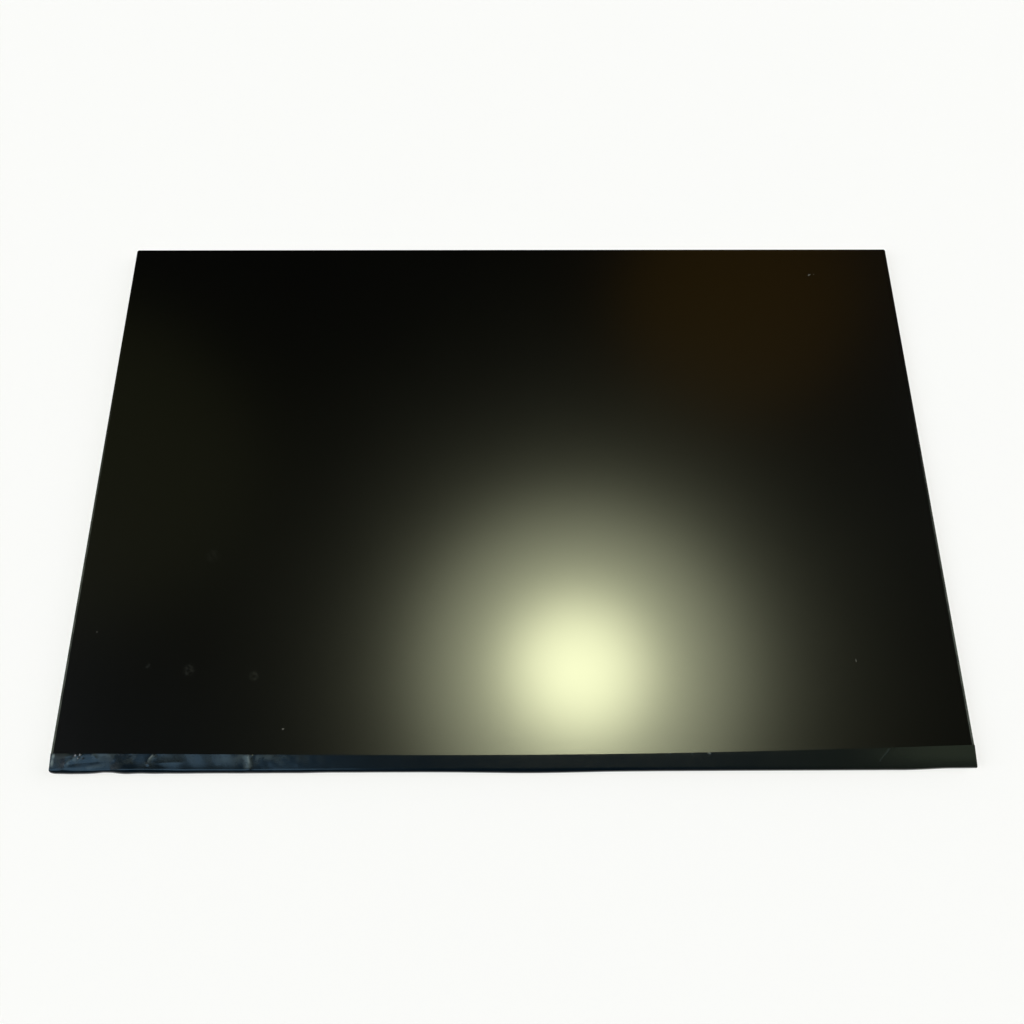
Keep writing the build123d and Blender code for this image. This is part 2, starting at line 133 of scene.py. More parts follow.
class Field:
    """A shader socket that takes part in sums: every operator adds the Math node that it stands for."""

    def __init__(self, tree, socket):
        self.tree = tree
        self.socket = socket

    def node(self, kind, output, settings, sockets):
        """Any node, by its type: its settings are set first, then the value or link of each socket."""
        made = self.tree.nodes.new(kind)
        for name, value in settings.items():
            setattr(made, name, value)
        for key, value in sockets.items():
            feed(self.tree, pick(made.inputs, key), value)
        return Field(self.tree, pick(made.outputs, output))

    def math(self, operation, first, second=0.0):
        return self.node("ShaderNodeMath", "Value", {"operation": operation}, {0: first, 1: second})

    def __add__(self, other):
        return self.math("ADD", self, other)

    def __radd__(self, other):
        return self.math("ADD", other, self)

    def __sub__(self, other):
        return self.math("SUBTRACT", self, other)

    def __rsub__(self, other):
        return self.math("SUBTRACT", other, self)

    def __mul__(self, other):
        return self.math("MULTIPLY", self, other)

    def __rmul__(self, other):
        return self.math("MULTIPLY", other, self)

    def __truediv__(self, other):
        return self.math("DIVIDE", self, other)

    def __abs__(self):
        return self.math("ABSOLUTE", self)

    def step(self, low, high):
        """0 below low and 1 above high, with a smooth rise between them."""
        ends = {"Value": self, "From Min": low, "From Max": high}
        return self.node("ShaderNodeMapRange", "Result", {"interpolation_type": "SMOOTHSTEP"}, ends)

    def from_line(self, pitch):
        """Distance to the nearest of the lines that stand at every whole multiple of a pitch."""
        return self.math("PINGPONG", self, pitch / 2)

    def stretch(self, x, y, z):
        """A place with each of its axes multiplied."""
        factors = {0: self, 1: (x, y, z)}
        return self.node("ShaderNodeVectorMath", "Vector", {"operation": "MULTIPLY"}, factors)

    def axes(self):
        """The x, y and z of a place."""
        parts = self.tree.nodes.new("ShaderNodeSeparateXYZ")
        self.tree.links.new(self.socket, parts.inputs[0])
        return [Field(self.tree, output) for output in parts.outputs]

    def noise(self, size, detail=2.0, rough=0.5):
        """Cloudy noise at a place, from 0 to 1, with blobs of about that size."""
        sockets = {"Vector": self, "Scale": 1 / size, "Detail": detail, "Roughness": rough}
        return self.node("ShaderNodeTexNoise", "Fac", {}, sockets)

    def cells(self, size):
        """Distance from a place to the nearest of scattered points that stand about that far apart."""
        return self.node("ShaderNodeTexVoronoi", "Distance", {}, {"Vector": self, "Scale": 1 / size})

    def blend(self, first, second):
        """One colour where this field is 0 and another where it is 1."""
        sockets = {"Factor_Float": self, "A_Color": colour(first), "B_Color": colour(second)}
        return self.node("ShaderNodeMix", "Result_Color", {"data_type": "RGBA"}, sockets)

    def bump(self, depth):
        """A normal whose relief is this field, from 0 to 1, times a depth in millimetres."""
        sockets = {"Height": self, "Distance": depth * MM, "Strength": 1.0}
        return self.node("ShaderNodeBump", "Normal", {}, sockets)


def colour(value):
    """A colour's three numbers with an alpha of 1, or the field that gives the colour."""
    return value if isinstance(value, Field) else (*value, 1.0)


def pick(sockets, key):
    """A socket by its number, its identifier or its name."""
    named = {socket.identifier: socket for socket in sockets}
    return named[key] if key in named else sockets[key]


def feed(tree, socket, value):
    """Link a field to a socket, or set a plain value on it."""
    if isinstance(value, Field):
        tree.links.new(value.socket, socket)
    else:
        socket.default_value = value


def finish(name, constants, pattern):
    """A material: constants go on the shader's sockets, and pattern turns a place in millimetres into the
    fields that feed the others."""
    made = bpy.data.materials.new(name)
    made.use_nodes = True
    tree = made.node_tree
    shader = tree.nodes["Principled BSDF"]
    metres = Field(tree, tree.nodes.new("ShaderNodeTexCoord").outputs["Object"])
    place = metres.stretch(1 / MM, 1 / MM, 1 / MM)
    for key, value in {**constants, **pattern(place)}.items():
        feed(tree, shader.inputs[key], value)
    return made


# Screen face

smudge_list = (
    # pixel, radius, strength
    ((189, 670), 2.6, 0.80),
    ((254, 676), 2.2, 0.65),
    ((213, 556), 3.0, 0.45),
    ((148, 666), 1.2, 0.90),
    ((97, 632), 1.0, 0.60),
)
margin_fade = (-95.0, 62.0)


def smudges(x, y):
    """Soft round marks, each of its own strength at its place and falling to nothing at its radius."""
    total = 0.0
    for pixel, radius, strength in smudge_list:
        spot_x, spot_y = seen_on(*pixel, film_high[2])
        off_x, off_y = x - spot_x, y - spot_y
        total = total + (1 - (off_x * off_x + off_y * off_y).step(0.0, radius * radius)) * strength
    return total


def screen_film(place):
    """Matte anti-glare film: near black, a fine grain, cloudy gloss and faint finger smudges."""
    x, y, z = place.axes()
    cloud = place.noise(46.0, 3.0)
    grain = place.noise(0.22, 2.0, 0.7)
    smudge = smudges(x, y) * place.noise(0.8, 3.0).step(0.30, 0.70)
    soot = cloud.blend((0.0001, 0.0001, 0.0001), (0.0004, 0.0004, 0.0003))
    return {
        "Base Color": smudge.blend(soot, (0.0014, 0.0014, 0.0013)),
        "Roughness": 0.185 + cloud * 0.010 + smudge * 0.10,
        "Normal": grain.bump(0.0006),
    }


def glass_sheet(place):
    """Cell glass: black mask under its border, a bare margin that is greyer towards the bottom edge, and pale
    ground edges with cutter marks."""
    x, y, z = place.axes()
    chips = place.stretch(1.0, 1.0, 0.4).noise(0.7, 4.0, 0.65)
    half_width, top = cover_high[:2]
    margin = abs(x).step(half_width - 0.74, half_width - 0.66)
    lower = 1 - y.step(*margin_fade)
    broken = 0.55 + 0.45 * place.noise(4.5, 3.0).step(0.38, 0.56)
    grey = (lower * broken).blend((0.003, 0.003, 0.003), (0.088, 0.095, 0.090))
    sides = abs(x).step(half_width - 0.03, half_width - 0.01)
    ground = 1 - (1 - sides) * (1 - y.step(top - 0.03, top - 0.01))
    frost = chips.blend((0.10, 0.125, 0.115), (0.20, 0.235, 0.22))
    face = margin.blend((0.0008, 0.0008, 0.0008), grey)
    return {
        "Base Color": ground.blend(face, frost),
        "Roughness": 0.10 + ground * 0.32 + chips * 0.06,
        "Normal": (chips * ground).bump(0.02),
    }


def rear_film(place):
    """Rear polarizing film: dark brownish grey with a soft cloud."""
    cloud = place.noise(30.0, 3.0)
    return {
        "Base Color": cloud.blend((0.020, 0.019, 0.018), (0.032, 0.031, 0.030)),
        "Roughness": 0.25 + cloud * 0.12,
    }


def bonding_tape(place):
    """Black double-sided tape: fine felted fibres and a dull face."""
    fibre = place.stretch(1.0, 0.2, 1.0).noise(0.25, 4.0, 0.7)
    return {
        "Base Color": fibre.blend((0.006, 0.006, 0.007), (0.022, 0.022, 0.023)),
        "Roughness": 0.55 + fibre * 0.25,
        "Normal": fibre.bump(0.012),
    }


# Driver tape: the section of its slope and bend, the lines of painted highlight along its creases, and its
# finish

tape_thickness = 0.06
face_top = tape_high[2]
bend_radius = (bend_high[2] + tape_thickness - tape_low[2]) / 2
bend_line = tape_low[1] + bend_radius
bend_middle = tape_low[2] + bend_radius
corner_y = film_low[1] - bend_line
corner_z = face_top - bend_middle
slope = math.acos(bend_radius / math.hypot(corner_y, corner_z)) - math.atan2(corner_y, corner_z)
slope_foot = bend_line - bend_radius * math.sin(slope)
worn_colour_span = (-115.0, -60.0)
patch_span = (-92.0, -52.0)
calm_start = (-120.0, -116.0)
calm_end = (-95.0, -91.0)
slate_span = (30.0, 130.0)
grey_span = (108.0, 146.0)
mark_fade = 0.5
# Painted highlights: pale spots and short lines where the bubbles and crease edges catch the light
tape_glint_list = (
    # start pixel, end pixel, half width, strength
    ((54, 754), (53, 758), 0.70, 1.00),
    ((52, 760), (51, 765), 0.70, 0.80),
    ((153, 755), (149, 759), 0.45, 0.80),
    ((247.5, 755), (249, 763), 0.60, 0.45),
    ((669.5, 753.6), (671, 753.6), 0.40, 0.40),
    ((691.5, 753.4), (693, 753.4), 0.40, 0.30),
    ((709, 753.4), (710.5, 753.4), 0.45, 0.75),
)
# Painted highlights along the creases and on the facets that face the lamps, drawn as pale lines
crease_highlight_list = (
    # start pixel, end pixel, half width, strength
    ((889, 749), (880, 761), 0.40, 0.17),
    ((246, 755), (248, 768), 1.90, 0.90),
    ((216, 758), (244, 757), 3.20, 0.22),
    ((256, 757), (272, 757), 1.60, 0.40),
    ((156, 755), (148, 762), 1.00, 0.80),
    ((76, 758), (66, 764), 1.40, 0.60),
    ((53, 755), (51, 767), 0.80, 1.00),
    ((92, 754), (112, 756), 0.90, 0.45),
    ((86, 768), (104, 765), 1.00, 0.40),
)


def soft_lines(x, y, marks):
    """Soft lines of painted highlight along the tape's creases, each strongest along its middle and faded past
    its ends.
    """
    total = 0.0
    for start, end, half_width, strength in marks:
        start_x, start_y = seen_on(*start, face_top)
        end_x, end_y = seen_on(*end, face_top)
        run = math.hypot(end_x - start_x, end_y - start_y)
        step_x, step_y = (end_x - start_x) / run, (end_y - start_y) / run
        along = (x - start_x) * step_x + (y - start_y) * step_y
        aside = abs((x - start_x) * step_y - (y - start_y) * step_x)
        ends = along.step(-mark_fade, mark_fade) * (1 - along.step(run - mark_fade, run + mark_fade))
        total = total + (1 - aside.step(0.0, half_width)) * ends * strength
    return total


def wrap_tape(place):
    """Driver tape: dark blue-grey satin film, finely crinkled, duller in patches at the left, greyer at the
    right end, paler on its worn crinkles at the left, with painted highlights along its creases and bubbles; the
    dull patches and the grey end fade round the bend, painted shade there."""
    x, y, z = place.axes()
    worn = 1 - x.step(*worn_colour_span)
    crinkle = place.stretch(1.0, 0.7, 0.7).noise(1.7, 3.0, 0.5)
    weave = place.noise(0.16, 2.0, 0.6)
    drift = place.noise(24.0, 2.0)
    scuff = crinkle.step(0.60, 0.80) * worn * 0.4
    blue = drift.blend((0.0012, 0.0046, 0.0090), (0.0030, 0.0062, 0.0104))
    slate = x.step(*slate_span).blend(blue, (0.0070, 0.0092, 0.0084))
    # upper is 1 on the slope and 0 round the bend: the grey end and the dull patches fade round the bend,
    # painted shade on it
    upper = y.step(slope_foot, film_low[1])
    grey = (x.step(*grey_span) * (0.25 + upper * 0.75)).blend(slate, (0.0190, 0.0235, 0.0180))
    cloudy = place.stretch(1.0, 1.5, 1.0).noise(4.5, 3.0, 0.6).step(0.44, 0.62)
    calm = x.step(*calm_start) * (1 - x.step(*calm_end)) * 0.75
    patch = cloudy + (0.6 - cloudy) * calm
    dulled = patch * (1 - x.step(*patch_span)) * (0.20 + upper * 0.80) * 0.8
    dull = dulled.blend(grey, (0.022, 0.027, 0.028))
    patchy = place.noise(1.3, 2.0).step(0.25, 0.55)
    # Paler worn crinkles at the left, and painted highlights along the creases, in one pale colour
    worn_and_highlit = (scuff * 0.3 + soft_lines(x, y, crease_highlight_list) * patchy).blend(dull, (0.062, 0.080, 0.092))
    return {
        # The palest colour is painted highlight at the bubbles and crease edges
        "Base Color": (soft_lines(x, y, tape_glint_list) * patchy).blend(worn_and_highlit, (0.17, 0.195, 0.205)),
        "Roughness": 0.125 + crinkle * 0.05 + drift * 0.03,
        "Normal": (crinkle * (0.15 + worn * 0.85) + weave * 0.06).bump(0.008),
    }


def frame_plastic(place):
    """Moulded frame: dark grey plastic with a spark-eroded grain and paler worn ridges."""
    grain = place.noise(0.18, 4.0, 0.65)
    flow = place.stretch(0.05, 0.05, 1.0).noise(1.0, 3.0)
    return {
        "Base Color": (grain * 0.6 + flow * 0.4).blend((0.012, 0.012, 0.013), (0.040, 0.040, 0.041)),
        "Roughness": 0.46 + grain * 0.20,
        "Normal": grain.bump(0.010),
    }


def sheet_metal(place):
    """Rolled aluminium: long grain along the width, cloudy gloss and fine scratches."""
    grain = place.stretch(0.018, 1.0, 1.0).noise(0.16, 4.0, 0.7)
    cloud = place.noise(26.0, 4.0, 0.6)
    scratch = place.stretch(0.05, 0.8, 0.8).noise(0.7, 2.0).step(0.70, 0.73)
    tone = (grain * 0.55 + cloud * 0.45).blend((0.44, 0.45, 0.46), (0.66, 0.67, 0.68))
    return {
        "Base Color": (scratch * 0.35).blend(tone, (0.80, 0.80, 0.80)),
        "Roughness": 0.30 + grain * 0.14 + cloud * 0.10 - scratch * 0.06,
        "Normal": (grain * 0.7 + scratch * 0.3).bump(0.0035),
    }


rib_pitch = 0.20
dot_pitch = 1.3
rail_pitch = 0.9
line_pitch = 0.36
track_pitch = 0.62


def ribbed_film(place):
    """Prism film: clear, with ribs along the width and a pearly cloud."""
    x, y, z = place.axes()
    rib = y.from_line(rib_pitch) / (rib_pitch / 2)
    cloud = place.noise(40.0, 2.0)
    return {
        "Base Color": cloud.blend((0.60, 0.64, 0.68), (0.74, 0.76, 0.78)),
        "Roughness": 0.18 + cloud * 0.12,
        "Normal": rib.bump(0.03),
    }


def milky_film(place):
    """Diffuser: milky white with a fine bead coating."""
    bead = place.noise(0.12, 3.0, 0.7)
    return {
        "Base Color": bead.blend((0.78, 0.79, 0.79), (0.88, 0.88, 0.87)),
        "Roughness": 0.55 + bead * 0.2,
        "Normal": bead.bump(0.01),
    }


def dotted_guide(place):
    """Light guide: clear plastic with rows of printed dots that grow away from the diodes."""
    x, y, z = place.axes()
    across_dots, along_dots = x.from_line(dot_pitch), y.from_line(dot_pitch)
    reach = (y - guide_low[1]) / (guide_high[1] - guide_low[1])
    radius = 0.18 + reach * 0.30
    far = across_dots * across_dots + along_dots * along_dots
    dot = 1 - (far / (radius * radius)).step(0.7, 1.3)
    return {
        "Base Color": dot.blend((0.62, 0.68, 0.68), (0.90, 0.91, 0.90)),
        "Roughness": 0.08 + dot * 0.5,
        "Normal": dot.bump(0.008),
    }


def white_reflector(place):
    """Reflector: bright white film with a faint roll grain."""
    grain = place.stretch(0.03, 1.0, 1.0).noise(0.4, 3.0)
    return {
        "Base Color": grain.blend((0.82, 0.83, 0.84), (0.90, 0.91, 0.91)),
        "Roughness": 0.32 + grain * 0.12,
        "Normal": grain.bump(0.004),
    }


def flex_strip(place):
    """Light flex: white cover layer over two copper rails, whose edges show as faint ridges."""
    x, y, z = place.axes()
    beside = y.from_line(rail_pitch)
    rail = beside.step(0.10, 0.16) * (1 - beside.step(0.34, 0.40))
    print_grain = place.noise(0.3, 3.0)
    return {
        "Base Color": rail.blend((0.74, 0.73, 0.69), (0.80, 0.76, 0.66)),
        "Roughness": 0.42 + print_grain * 0.14,
        "Normal": (rail * 0.8 + print_grain * 0.2).bump(0.02),
    }


def diode_body(place):
    """Diodes: white moulded bodies whose windows, on the side towards the guide, hold yellow phosphor."""
    x, y, z = place.axes()
    speck = place.noise(0.15, 3.0)
    face, sill, head = diode_high[1], diode_low[2], diode_high[2]
    front = y.step(face - 0.22, face - 0.12)
    deep = z.step(sill + 0.10, sill + 0.13) * (1 - z.step(head - 0.13, head - 0.10))
    plastic = speck.blend((0.78, 0.78, 0.76), (0.86, 0.86, 0.84))
    return {
        "Base Color": (front * deep).blend(plastic, (0.82, 0.60, 0.05)),
        "Roughness": 0.35 + speck * 0.2,
    }


def amber_film(place):
    """Driver film: amber film with fine copper lines that run round the bend."""
    x, y, z = place.axes()
    line = 1 - x.from_line(line_pitch).step(0.05, 0.09)
    stain = place.noise(5.0, 3.0)
    amber = stain.blend((0.30, 0.115, 0.018), (0.42, 0.175, 0.030))
    return {
        "Base Color": line.blend(amber, (0.52, 0.24, 0.10)),
        "Metallic": line * 0.7,
        "Roughness": 0.30 + stain * 0.12,
        "Normal": line.bump(0.008),
    }


def bare_silicon(place):
    """Driver chip: dark polished silicon with ground lines along its length."""
    grind = place.stretch(0.04, 1.0, 1.0).noise(0.06, 2.0)
    return {
        "Base Color": grind.blend((0.045, 0.047, 0.055), (0.085, 0.088, 0.098)),
        "Roughness": 0.16 + grind * 0.14,
    }


def green_board(place):
    """Control board: green solder mask over raised copper tracks, with plated holes."""
    x, y, z = place.axes()
    wander = place.stretch(0.12, 1.0, 1.0).noise(2.2, 1.0)
    track = 1 - (y + wander * 1.6).from_line(track_pitch).step(0.10, 0.16)
    gap = place.stretch(0.35, 1.0, 1.0).noise(5.0, 1.0).step(0.44, 0.50)
    copper = track * gap
    hole = 1 - place.stretch(1.0, 1.0, 0.0).cells(2.4).step(0.09, 0.12)
    mask = copper.blend((0.008, 0.055, 0.020), (0.020, 0.115, 0.040))
    return {
        "Base Color": hole.blend(mask, (0.55, 0.44, 0.20)),
        "Metallic": hole * 0.8,
        "Roughness": 0.24 + copper * 0.06,
        "Normal": (copper + hole * 0.5).bump(0.03),
    }


def moulded_package(place):
    """Chip package: black moulding compound with a sandy grain."""
    sand = place.noise(0.10, 4.0, 0.7)
    return {
        "Base Color": sand.blend((0.012, 0.012, 0.013), (0.034, 0.034, 0.035)),
        "Roughness": 0.42 + sand * 0.2,
        "Normal": sand.bump(0.010),
    }


def ferrite_block(place):
    """Inductor: dark grey pressed ferrite with paler grains."""
    grains = place.cells(0.12)
    return {
        "Base Color": grains.blend((0.030, 0.030, 0.033), (0.085, 0.085, 0.088)),
        "Roughness": 0.50 + grains * 0.25,
        "Normal": grains.bump(0.012),
    }


block_half_length = 0.5
block_pitch = 4.0
row_offset = 1.25
tin_edge = (0.28, 0.33)
middle_bank_end = (20.0, 21.0)


def ceramic_block(place):
    """Capacitors: tan ceramic with tinned ends; those of the middle bank stand across the board, and the outer
    ones along it."""
    x, y, z = place.axes()
    mid_row = (bank_low[1] + bank_high[1]) / 2
    lengthwise = (x - (bank_high[0] - block_half_length)).from_line(block_pitch).step(*tin_edge)
    crosswise = abs(abs(y - mid_row) - row_offset).step(*tin_edge)
    outer = abs(x).step(*middle_bank_end)
    tin = outer * lengthwise + (1 - outer) * crosswise
    speck = place.noise(0.08, 3.0)
    clay = speck.blend((0.30, 0.20, 0.12), (0.42, 0.29, 0.18))
    return {
        "Base Color": tin.blend(clay, (0.62, 0.62, 0.63)),
        "Metallic": tin * 0.9,
        "Roughness": 0.42 - tin * 0.12 + speck * 0.1,
    }


def cover_film(place):
    """Board cover: thin black film with a satin face, faint waves and hair scratches."""
    wave = place.stretch(0.25, 1.0, 1.0).noise(3.0, 3.0)
    hair = place.stretch(0.2, 0.9, 0.9).noise(0.5, 2.0).step(0.69, 0.72)
    return {
        "Base Color": (hair * 0.5 + wave * 0.3).blend((0.006, 0.006, 0.007), (0.030, 0.030, 0.031)),
        "Roughness": 0.34 + wave * 0.14,
        "Normal": (wave * 0.8 + hair * 0.2).bump(0.03),
    }


def socket_plastic(place):
    """Connector housing: black glass-filled plastic with short pale fibres."""
    fibre = place.stretch(0.25, 1.0, 1.0).noise(0.08, 3.0, 0.7)
    return {
        "Base Color": fibre.blend((0.012, 0.012, 0.012), (0.050, 0.049, 0.047)),
        "Roughness": 0.38 + fibre * 0.2,
    }


def plated_shell(place):
    """Connector shell: tinned steel with a drawn grain."""
    grain = place.stretch(0.05, 1.0, 1.0).noise(0.10, 3.0, 0.6)
    return {
        "Base Color": grain.blend((0.50, 0.50, 0.49), (0.70, 0.70, 0.68)),
        "Roughness": 0.24 + grain * 0.14,
        "Normal": grain.bump(0.003),
    }


def gold_contact(place):
    """Contacts: gold over copper alloy, worn duller in places."""
    wear = place.noise(0.3, 3.0)
    return {
        "Base Color": wear.blend((0.78, 0.52, 0.16), (0.92, 0.68, 0.28)),
        "Roughness": 0.20 + wear * 0.16,
    }


def dust_fluff(place):
    """Dust: pale grey fibres and skin flakes."""
    fluff = place.noise(0.12, 3.0, 0.7)
    return {
        "Base Color": fluff.blend((0.04, 0.038, 0.033), (0.13, 0.125, 0.115)),
        "Roughness": 0.80 + fluff * 0.15,
    }


floor_rays = ("Camera", "Glossy", "Transmission")
floor_glow = 0.6


def pale_floor(place):
    """Floor: pale paper with a hardly visible mottle; part of what is seen of it is its own even white."""
    mottle = place.noise(60.0, 3.0)
    rays = [place.node("ShaderNodeLightPath", "Is %s Ray" % kind, {}, {}) for kind in floor_rays]
    glow = sum(rays, 0.0).step(0.0, 1.0) * floor_glow
    paper = mottle.blend((0.965, 0.925, 0.975), (0.985, 0.945, 0.995))
    return {
        "Base Color": glow.blend(paper, (0.0, 0.0, 0.0)),
        "Emission Color": glow.blend((0.0, 0.0, 0.0), (1.0, 1.0, 1.0)),
        "Roughness": 0.85 + mottle * 0.1,
    }


METAL = {"Metallic": 1.0}
DULL = {"Specular IOR Level": 0.3}
PLAIN = {}

finishes = {
    "screen_film": (PLAIN, screen_film, ["front_polarizer"]),
    "cell_glass": (PLAIN, glass_sheet, ["colour_filter_glass", "array_glass"]),
    "rear_film": (PLAIN, rear_film, ["rear_polarizer"]),
    "bonding_tape": (DULL, bonding_tape, ["cell_tape", "board_bond_tape"]),
    "frame_plastic": (PLAIN, frame_plastic, ["mould_frame"]),
    "sheet_metal": (METAL, sheet_metal, ["rear_chassis"]),
    "ribbed_film": (PLAIN, ribbed_film, ["lower_prism_sheet", "upper_prism_sheet"]),
    "milky_film": (PLAIN, milky_film, ["diffuser_sheet"]),
    "dotted_guide": (PLAIN, dotted_guide, ["light_guide"]),
    "white_reflector": (PLAIN, white_reflector, ["reflector_sheet"]),
    "flex_strip": (PLAIN, flex_strip, ["light_flex"]),
    "diode_body": (PLAIN, diode_body, ["light_diodes"]),
    "amber_film": (PLAIN, amber_film, ["driver_film_%d" % n for n in range(1, 5)]),
    "bare_silicon": (PLAIN, bare_silicon, ["driver_chip_%d" % n for n in range(1, 5)]),
    "green_board": (PLAIN, green_board, ["control_board"]),
    "moulded_package": (PLAIN, moulded_package, ["timing_controller", "power_chip", "gamma_chip"]),
    "ferrite_block": (PLAIN, ferrite_block, ["power_inductors"]),
    "ceramic_block": (PLAIN, ceramic_block, ["board_capacitors"]),
    "cover_film": (PLAIN, cover_film, ["board_cover_film"]),
    "socket_plastic": (PLAIN, socket_plastic, ["connector_housing"]),
    "plated_shell": (METAL, plated_shell, ["connector_shell"]),
    "gold_contact": (METAL, gold_contact, ["connector_contacts"]),
}


def dress_solids():
    """Give every solid its finish."""
    for name, (constants, pattern, nodes) in finishes.items():
        made = finish(name, constants, pattern)
        for node in nodes:
            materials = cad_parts[node].data.materials
            materials.clear()
            materials.append(made)


def add_mesh(name, points, faces, material):
    """A mesh object from points in millimetres and four-cornered faces."""
    mesh = bpy.data.meshes.new(name)
    mesh.from_pydata((points * MM).tolist(), [], faces.tolist())
    mesh.polygons.foreach_set("use_smooth", np.ones(len(faces), bool))
    mesh.materials.append(material)
    mesh.update()
    piece = bpy.data.objects.new(name, mesh)
    bpy.context.scene.collection.objects.link(piece)
    return piece


def grid_faces(rows, columns, first=0):
    """The faces of a grid of points that are numbered along its columns, from the first."""
    corner = first + np.arange(rows - 1)[:, None] * columns + np.arange(columns - 1)[None, :]
    corner = corner.ravel()
    return np.stack([corner, corner + columns, corner + columns + 1, corner + 1], axis=1)


def smooth(value, low, high):
    """0 below low and 1 above high, with a smooth rise between them."""
    share = np.clip((value - low) / (high - low), 0, 1)
    return share * share * (3 - 2 * share)


# Driver tape: its section follows the solid, and its relief follows the creases that the photograph shows

edge_pixels = (
    (60, 753.5),
    (110, 753.6),
    (150, 754.3),
    (250, 754.3),
    (400, 755),
    (500, 755),
    (600, 754.2),
    (700, 752.2),
    (800, 750),
    (900, 747.4),
    (965, 745),
)
edge_degree = 5
rear_end = -96.87
fine_reach = 72.0
fine_columns = 360
plain_columns = 620
top_rows = 26
bend_rows = 14
rear_rows = 5
sharp_angle = math.radians(50)

# How slack the tape is along the width, and the zigzag folds that this lets it take
worn_span = (-128.0, -112.0)
soft_span = (-85.0, -40.0)
loose_span = (-62.0, -40.0)
right_slack_span = (95.0, 150.0)
stuck_reach = 0.7
fold_seed = 11
fold_count = 12
shortest_fold = 7.0
longest_fold = 19.0
fold_turn = 1.2
fold_ease = 0.97
fold_level = 0.055
fold_height = 0.038

# How far the bend stands out along the width
swell_list = (
    # middle, reach, push outwards
    (6.0, 22.0, 0.42),
    (-146.0, 6.0, 0.10),
    (-135.2, 4.2, -0.30),
)
right_tuck = 0.50
right_tuck_span = (129.5, 147.0)
left_push = 0.09
left_push_middle = -95.0
left_push_span = (22.0, 34.0)
corner_radius = 2.4
corner_depth = 0.60

crease_list = (
    # start pixel, end pixel, height, width to the left of the line, width to its right, fade past its ends
    ((155, 755), (147, 765), 0.110, 0.50, 0.50, 0.50),
    ((131, 754), (132, 764), -0.035, 0.22, 0.22, 0.22),
    ((250, 754), (249, 771), 0.120, 0.70, 0.70, 0.70),
    ((889, 749), (879, 763), 0.030, 0.25, 0.25, 0.25),
    ((64, 765), (76, 757), 0.045, 0.60, 0.60, 0.60),
    ((66, 764.5), (106, 761), -0.045, 1.50, 1.50, 1.50),
    ((120, 769.5), (166, 769.5), 0.190, 0.30, 1.70, 5.00),
    ((176, 770), (262, 770.5), 0.080, 0.40, 1.30, 4.00),
    ((93, 754), (97, 759), 0.050, 0.60, 0.60, 0.60),
    ((110, 754), (114, 761), 0.040, 0.80, 0.80, 0.80),
    ((276, 756), (270, 765), 0.025, 0.90, 0.90, 0.90),
    ((300, 755), (297, 766), 0.020, 0.90, 0.90, 0.90),
    ((66, 754), (64, 770), 0.160, 2.60, 5.00, 0.60),
    ((156, 763), (182, 762), 0.070, 1.80, 1.80, 1.80),
)
bubble_list = (
    # pixel, radius, height
    ((77, 755.5), 0.70, 0.13),
    ((81.5, 755.0), 0.55, 0.14),
    ((79, 758.5), 0.55, 0.09),
    ((84, 759.0), 0.45, 0.06),
    ((670, 753.4), 0.40, 0.06),
    ((692, 753.2), 0.35, 0.05),
    ((709, 753.6), 0.42, 0.07),
    ((709, 757.0), 0.45, 0.04),
    ((252, 755.4), 0.40, 0.07),
)


def on_tape(column, row):
    """A pixel's place on the tape: x, and the way from the foot of its slope towards the screen."""
    x, y = seen_on(column, row, face_top - 0.5 * math.tan(slope) * (film_low[1] - slope_foot))
    return x, y - slope_foot


def crease(x, way, start, end, height, left_width, right_width, fade):
    """A tent along a line: its height falls with the distance to either side, and fades past the line's ends."""
    (start_x, start_way), (end_x, end_way) = on_tape(*start), on_tape(*end)
    run = math.hypot(end_x - start_x, end_way - start_way)
    step_x, step_way = (end_x - start_x) / run, (end_way - start_way) / run
    along = (x - start_x) * step_x + (way - start_way) * step_way
    aside = (x - start_x) * step_way - (way - start_way) * step_x
    ends = smooth(along, -fade, fade) * smooth(run - along, -fade, fade)
    return height * np.exp(-np.where(aside > 0, aside / left_width, -aside / right_width)) * ends


def bubble(x, way, centre, radius, height):
    """A dome: one less the squared distance over the radius, squared, times the height."""
    centre_x, centre_way = on_tape(*centre)
    far = ((x - centre_x) / radius) ** 2 + ((way - centre_way) / radius) ** 2
    return height * np.clip(1 - far, 0, None) ** 2


def folds(x, way, seed, count, shortest, longest):
    """A sum of slanting zigzags with eased corners, of mixed length and direction, scaled to about 1."""
    draw = np.random.default_rng(seed)
    length = draw.uniform(shortest, longest, count)
    turn = draw.uniform(-fold_turn, fold_turn, count)
    phase = draw.uniform(0, 2 * math.pi, count)
    total = np.zeros(np.broadcast(x, way).shape)
    for one, angle, start in zip(length, turn, phase):
        swing = 2 * math.pi * (x * math.cos(angle) + way * math.sin(angle)) / one + start
        total += one * np.arcsin(fold_ease * np.sin(swing))
    return total / (np.sqrt(count / 2) * (shortest + longest) / 2)


